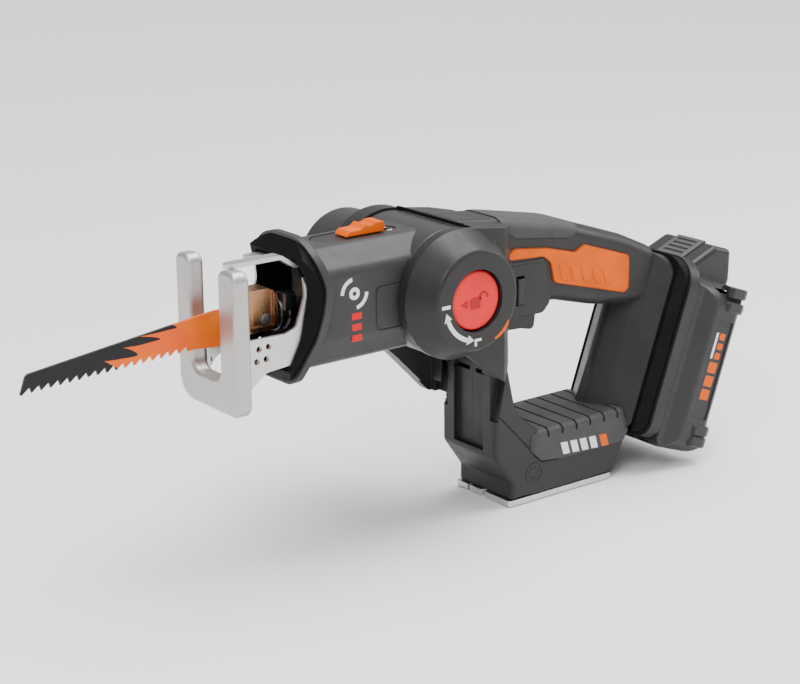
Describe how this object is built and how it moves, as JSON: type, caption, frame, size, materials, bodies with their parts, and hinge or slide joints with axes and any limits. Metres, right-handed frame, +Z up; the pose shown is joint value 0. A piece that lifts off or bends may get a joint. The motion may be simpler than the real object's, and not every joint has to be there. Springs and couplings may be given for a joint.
{
  "type": "reciprocating saw",
  "caption": "Cordless reciprocating saw with a head that swings from in-line to right angle, U-shaped shoe, D-handle with a base plate, and slide-on battery pack.",
  "frame": {"origin": "middle of the underside of the steel base plate under the handle", "axes": "+X forwards along the blade, +Y to the user's left (the side with the round release button), +Z up"},
  "size_m": [0.4434, 0.121, 0.169],
  "materials": {
    "housing": "fine spark-eroded texture, satin",
    "head_housing": "fine spark-eroded texture, satin",
    "soft_rubber": "matt soft grip rubber",
    "black_rubber": "matt",
    "orange_plastic": "satin",
    "red_plastic": "satin",
    "black_plastic": "satin",
    "battery_plastic": "fine texture, satin",
    "latch_plastic": "satin",
    "nylon": "natural",
    "plate_steel": "brushed, zinc plated",
    "cast_aluminium": "shot blasted casting",
    "screw_steel": "bright zinc",
    "gear_steel": "machined, oiled",
    "motor_steel": "zinc plated sheet",
    "lever_steel": "machined",
    "spring_steel": "drawn wire",
    "magnet": "sintered",
    "bronze": "sintered, oiled",
    "contact_brass": "rolled",
    "zinc_copper": "yellow-passivated casting",
    "blade_steel": "printed two-tone over black oxide",
    "cell_sleeve": "shrink sleeve"
  },
  "bodies": {
    "handle": {"handle_shell_left": "housing", "handle_shell_right": "housing", "grip_overmould": "soft_rubber", "grip_inserts": "orange_plastic", "rib_pad": "soft_rubber", "pivot_accent": "orange_plastic", "mount_band": "black_rubber", "base_plate": "plate_steel", "base_plate_screws": "screw_steel", "handle_screws": "screw_steel", "pivot_bush_right": "nylon", "pivot_bush_left": "nylon", "pivot_seal": "black_rubber", "trigger_switch": "black_plastic", "terminal_block": "black_plastic", "terminal_blades": "contact_brass", "mount_rails": "black_plastic", "button_spring": "spring_steel"},
    "head": {"head_shell_left": "head_housing", "head_shell_right": "head_housing", "motor_housing": "head_housing", "selector_bezel": "black_plastic", "nose_ring": "black_rubber", "shoe": "cast_aluminium", "shoe_bracket": "plate_steel", "shoe_screws": "screw_steel", "head_screws": "screw_steel", "lock_ring": "gear_steel", "gear_frame": "cast_aluminium", "plunger_bush": "bronze", "shaft_bearings": "bronze", "motor_can": "motor_steel", "motor_magnets": "magnet", "motor_end_bell": "black_plastic", "motor_brushes": "magnet"},
    "rotor": {"rotor_shaft": "gear_steel", "armature": "motor_steel", "commutator": "contact_brass", "fan": "black_plastic", "pinion": "gear_steel"},
    "crank": {"crank_gear": "gear_steel", "crank_shaft": "gear_steel", "crank_pin": "gear_steel"},
    "plunger": {"yoke": "gear_steel", "plunger": "gear_steel", "clamp_body": "zinc_copper", "clamp_rivet": "screw_steel", "blade": "blade_steel"},
    "clamp_lever": {"clamp_lever": "lever_steel"},
    "release_button": {"pivot_button": "red_plastic", "lock_star": "gear_steel"},
    "trigger": {"trigger": "black_plastic"},
    "lock_off": {"lock_off_button": "black_plastic"},
    "orbit_selector": {"orbit_slider": "orange_plastic"},
    "battery": {"battery_front_shell": "battery_plastic", "battery_rear_shell": "battery_plastic", "battery_cells": "cell_sleeve", "battery_contacts": "contact_brass", "battery_screws": "screw_steel"},
    "battery_latch": {"battery_latch": "latch_plastic"}
  },
  "joints": [
    {"name": "head_pivot", "type": "hinge", "parent": "handle", "child": "head", "pos_m": [0.0825, 0, 0.13], "axis": [0, 1, 0], "range_deg": [0, 90]},
    {"name": "rotor_spin", "type": "hinge", "parent": "head", "child": "rotor", "pos_m": [0.0825, 0, 0.13], "axis": [0, 1, 0], "continuous": true},
    {"name": "crank_spin", "type": "hinge", "parent": "head", "child": "crank", "pos_m": [0.1126, 0, 0.13], "axis": [0, 1, 0], "continuous": true},
    {"name": "plunger_stroke", "type": "slide", "parent": "head", "child": "plunger", "axis": [1, 0, 0], "range_m": [-0.0095, 0.0095]},
    {"name": "clamp_turn", "type": "hinge", "parent": "plunger", "child": "clamp_lever", "pos_m": [0.17, 0, 0.13], "axis": [1, 0, 0], "range_deg": [0, 60], "stiffness_Nm_per_rad": 0.03, "springref_deg": -11.46},
    {"name": "release_press", "type": "slide", "parent": "handle", "child": "release_button", "axis": [0, -1, 0], "range_m": [0, 0.004], "stiffness_N_per_m": 1500, "springref_m": -0.002, "deforming": ["button_spring"]},
    {"name": "trigger_pull", "type": "slide", "parent": "handle", "child": "trigger", "axis": [0, 0, 1], "range_m": [0, 0.006], "stiffness_N_per_m": 900, "springref_m": -0.003},
    {"name": "lock_off_push", "type": "slide", "parent": "handle", "child": "lock_off", "axis": [0, 1, 0], "range_m": [-0.002, 0.002]},
    {"name": "orbit_select", "type": "slide", "parent": "head", "child": "orbit_selector", "axis": [-1, 0, 0], "range_m": [0, 0.008]},
    {"name": "battery_slide", "type": "slide", "parent": "handle", "child": "battery", "axis": [-0.342, 0, 0.9397], "range_m": [0, 0.08]},
    {"name": "latch_press", "type": "slide", "parent": "battery", "child": "battery_latch", "axis": [0.342, 0, -0.9397], "range_m": [0, 0.003], "stiffness_N_per_m": 1200, "springref_m": -0.002}
  ],
  "couplings": [
    {"joint": "crank_spin", "follows": "rotor_spin", "ratio": -0.25}
  ]
}
